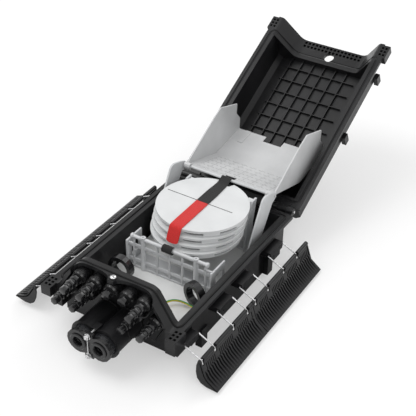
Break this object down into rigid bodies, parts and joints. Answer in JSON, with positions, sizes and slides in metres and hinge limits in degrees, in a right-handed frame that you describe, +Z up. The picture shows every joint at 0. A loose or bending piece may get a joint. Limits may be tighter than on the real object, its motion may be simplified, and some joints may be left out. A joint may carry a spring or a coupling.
{
  "type": "fibre distribution hub box",
  "caption": "Open fibre distribution box with hinged lid, tilting basket, stacked splice trays, capped drop ports, an oval cable port and wire-bail latch wings.",
  "frame": {"origin": "on the underside of the base, midway along and across its floor", "axes": "+X across the box to its right, +Y from the cable ports to the lid hinge, +Z up"},
  "size_m": [0.3672, 0.7763, 0.2443],
  "materials": {
    "black_plastic": "moulded, slightly grained",
    "black_rubber": "smooth",
    "grey_plastic": "satin",
    "white_plastic": "satin",
    "steel": "drawn wire",
    "seal_gel": "soft",
    "red_fabric": "woven",
    "black_fabric": "woven",
    "wire_sheath": "striped green and yellow"
  },
  "bodies": {
    "base": {"base_shell": "black_plastic", "cable_ring_left": "black_plastic", "cable_ring_right": "black_plastic", "cable_port_barrel": "black_plastic", "clamp_plate": "black_plastic", "plug_upper_1": "black_plastic", "plug_upper_2": "black_plastic", "plug_upper_3": "black_plastic", "plug_upper_4": "black_plastic", "plug_upper_5": "black_plastic", "plug_lower_1": "black_plastic", "plug_lower_2": "black_plastic", "plug_lower_3": "black_plastic", "plug_lower_4": "black_plastic", "rim_gasket": "black_rubber", "tether_upper_1": "black_rubber", "tether_upper_5": "black_rubber", "tether_lower_1": "black_rubber", "tether_lower_3": "black_rubber", "tether_lower_4": "black_rubber", "support_frame": "grey_plastic", "basket_arm_left": "grey_plastic", "basket_arm_right": "grey_plastic", "basket_pivot_bar": "grey_plastic", "tray_spine": "grey_plastic", "organiser_plate": "white_plastic", "splice_tray_1": "white_plastic", "splice_tray_2": "white_plastic", "splice_tray_3": "white_plastic", "splice_tray_4": "white_plastic", "hinge_pin_left": "steel", "hinge_pin_right": "steel", "clamp_bolt_upper": "steel", "clamp_bolt_lower": "steel", "test_valve": "steel", "earth_stud": "steel", "gel_seal": "seal_gel", "strap_front": "red_fabric", "strap_rear": "black_fabric", "strap_loop": "black_fabric", "earth_wire": "wire_sheath"},
    "lid": {"lid_shell": "black_plastic"},
    "basket": {"basket": "grey_plastic"},
    "bails_right_front": {"bail_right_front_1": "steel", "bail_right_front_2": "steel"},
    "wing_right_front": {"wing_right_front": "black_plastic"},
    "bails_right_rear": {"bail_right_rear_1": "steel", "bail_right_rear_2": "steel"},
    "wing_right_rear": {"wing_right_rear": "black_plastic"},
    "bails_left_front": {"bail_left_front_1": "steel", "bail_left_front_2": "steel"},
    "wing_left_front": {"wing_left_front": "black_plastic"},
    "bails_left_rear": {"bail_left_rear_1": "steel", "bail_left_rear_2": "steel"},
    "wing_left_rear": {"wing_left_rear": "black_plastic"}
  },
  "joints": [
    {"name": "lid_hinge", "type": "hinge", "parent": "base", "child": "lid", "pos_m": [0, 0.1797, 0.0753], "axis": [1, 0, 0], "range_deg": [0, 152.5]},
    {"name": "basket_pivot", "type": "hinge", "parent": "base", "child": "basket", "pos_m": [0, 0.148, 0.118], "axis": [1, 0, 0], "range_deg": [0, 187.5]},
    {"name": "bails_right_front_swing", "type": "hinge", "parent": "base", "child": "bails_right_front", "pos_m": [0.1205, -0.1055, 0.059], "axis": [0, -1, 0], "range_deg": [0, 110]},
    {"name": "wing_right_front_fold", "type": "hinge", "parent": "bails_right_front", "child": "wing_right_front", "pos_m": [0.14764, -0.1055, 0.04576], "axis": [0, -1, 0], "range_deg": [0, 42]},
    {"name": "bails_right_rear_swing", "type": "hinge", "parent": "base", "child": "bails_right_rear", "pos_m": [0.1205, 0.0495, 0.059], "axis": [0, -1, 0], "range_deg": [0, 110]},
    {"name": "wing_right_rear_fold", "type": "hinge", "parent": "bails_right_rear", "child": "wing_right_rear", "pos_m": [0.14764, 0.0495, 0.04576], "axis": [0, -1, 0], "range_deg": [0, 42]},
    {"name": "bails_left_front_swing", "type": "hinge", "parent": "base", "child": "bails_left_front", "pos_m": [-0.1205, -0.1055, 0.059], "axis": [0, 1, 0], "range_deg": [0, 110]},
    {"name": "wing_left_front_fold", "type": "hinge", "parent": "bails_left_front", "child": "wing_left_front", "pos_m": [-0.14764, -0.1055, 0.04576], "axis": [0, 1, 0], "range_deg": [0, 28]},
    {"name": "bails_left_rear_swing", "type": "hinge", "parent": "base", "child": "bails_left_rear", "pos_m": [-0.1205, 0.0495, 0.059], "axis": [0, 1, 0], "range_deg": [0, 110]},
    {"name": "wing_left_rear_fold", "type": "hinge", "parent": "bails_left_rear", "child": "wing_left_rear", "pos_m": [-0.14764, 0.0495, 0.04576], "axis": [0, 1, 0], "range_deg": [0, 28]}
  ],
  "couplings": [
    {"joint": "basket_pivot", "follows": "lid_hinge", "ratio": 1.2295}
  ]
}
